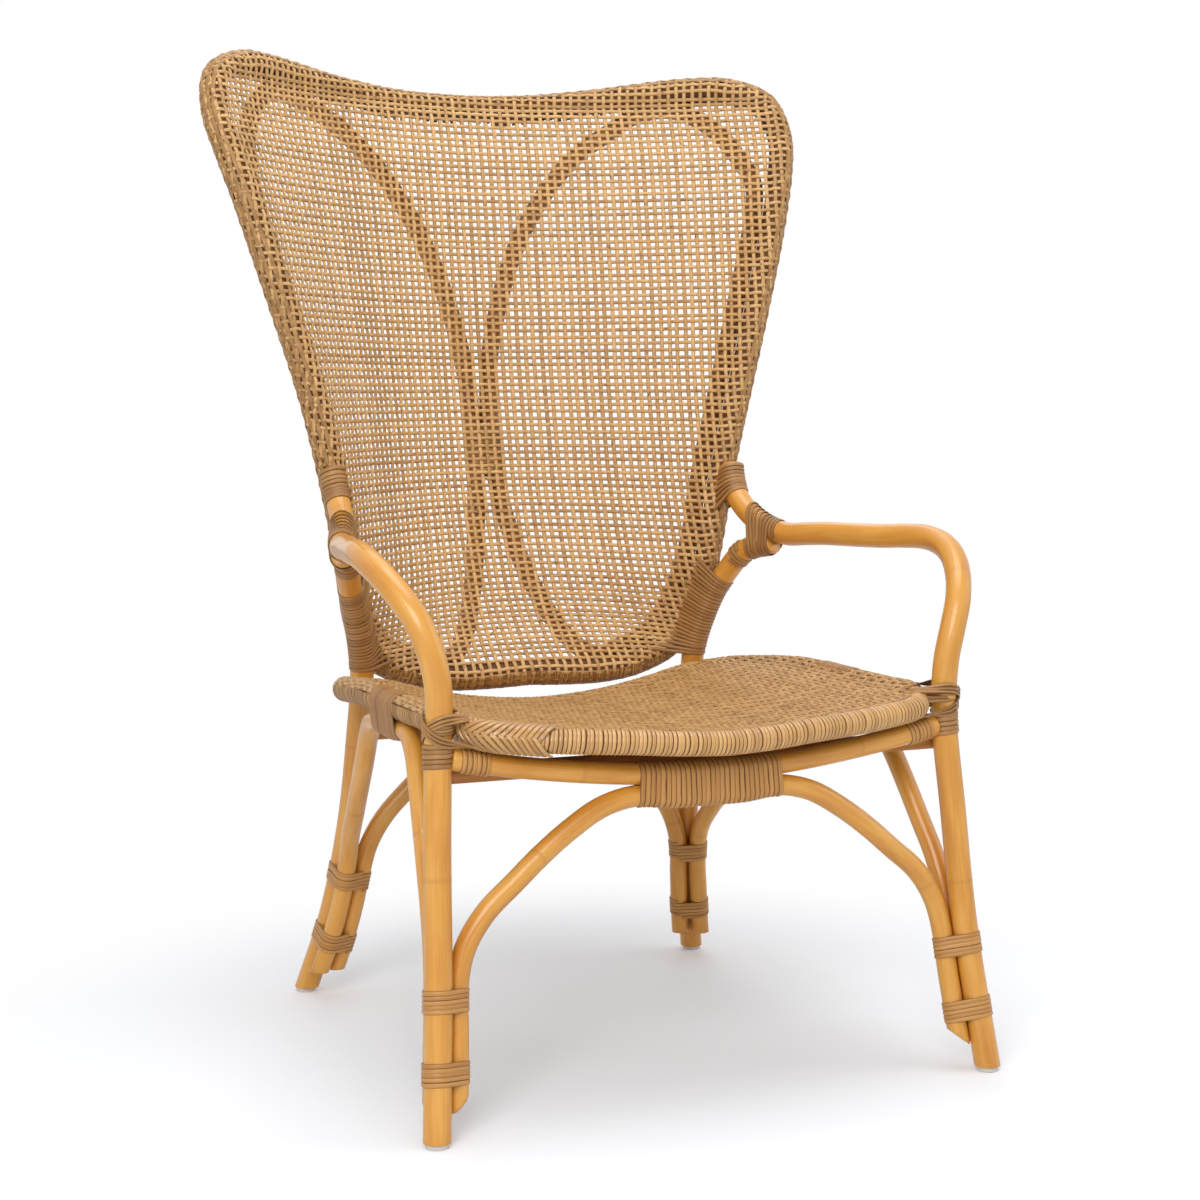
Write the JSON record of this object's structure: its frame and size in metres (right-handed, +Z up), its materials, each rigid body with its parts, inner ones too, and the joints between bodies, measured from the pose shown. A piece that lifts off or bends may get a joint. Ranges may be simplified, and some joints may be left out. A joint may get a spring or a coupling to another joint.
{
  "type": "peacock chair",
  "caption": "High-backed rattan armchair with a winged, open-woven cane back, a close-woven seat, pole arms, arched leg braces and cane lashings.",
  "frame": {"origin": "on the floor under the middle of the chair's overall width and depth", "axes": "+Z up from the floor; the sitter faces -Y; +X to the right in a front view"},
  "size_m": [0.737, 0.7829, 1.0937],
  "materials": {
    "outer_pole": "clear satin varnish over honey-coloured rattan skin",
    "inner_pole": "clear satin varnish over darker rattan skin",
    "binding_cane": "matt split cane, wound in close turns",
    "woven_cane": "matt round cane, plain weave",
    "rim_binding": "satin split cane wrapped over a rattan pole",
    "foot_glide": "pale grey moulded plastic"
  },
  "bodies": {
    "root": {"arm_end_lashing_left": "binding_cane", "arm_end_lashing_right": "binding_cane", "arm_joint_lashing_left": "binding_cane", "arm_joint_lashing_right": "binding_cane", "back_hoop": "inner_pole", "back_lashing_left": "binding_cane", "back_lashing_right": "binding_cane", "back_oval_left": "inner_pole", "back_oval_right": "inner_pole", "back_weave": "woven_cane", "front_arch": "outer_pole", "front_arch_binding": "binding_cane", "front_pole_left": "outer_pole", "front_pole_right": "outer_pole", "front_rail": "outer_pole", "glide_front_left": "foot_glide", "glide_front_right": "foot_glide", "glide_rear_left": "foot_glide", "glide_rear_right": "foot_glide", "leg_lashing_front_lower_left": "binding_cane", "leg_lashing_front_lower_right": "binding_cane", "leg_lashing_front_upper_left": "binding_cane", "leg_lashing_front_upper_right": "binding_cane", "leg_lashing_rear_lower_left": "binding_cane", "leg_lashing_rear_lower_right": "binding_cane", "leg_lashing_rear_upper_left": "binding_cane", "leg_lashing_rear_upper_right": "binding_cane", "oval_tie": "binding_cane", "rail_end_binding_left": "binding_cane", "rail_end_binding_right": "binding_cane", "rail_lashing_left": "binding_cane", "rail_lashing_right": "binding_cane", "rear_arch": "outer_pole", "rear_arch_binding": "binding_cane", "rear_pole_left": "outer_pole", "rear_pole_right": "outer_pole", "rear_rail": "inner_pole", "seat_bearer": "inner_pole", "seat_hoop": "rim_binding", "seat_tie_left": "binding_cane", "seat_tie_right": "binding_cane", "seat_weave": "woven_cane", "side_arch_binding_left": "binding_cane", "side_arch_binding_right": "binding_cane", "side_arch_left": "outer_pole", "side_arch_right": "outer_pole"}
  },
  "joints": []
}
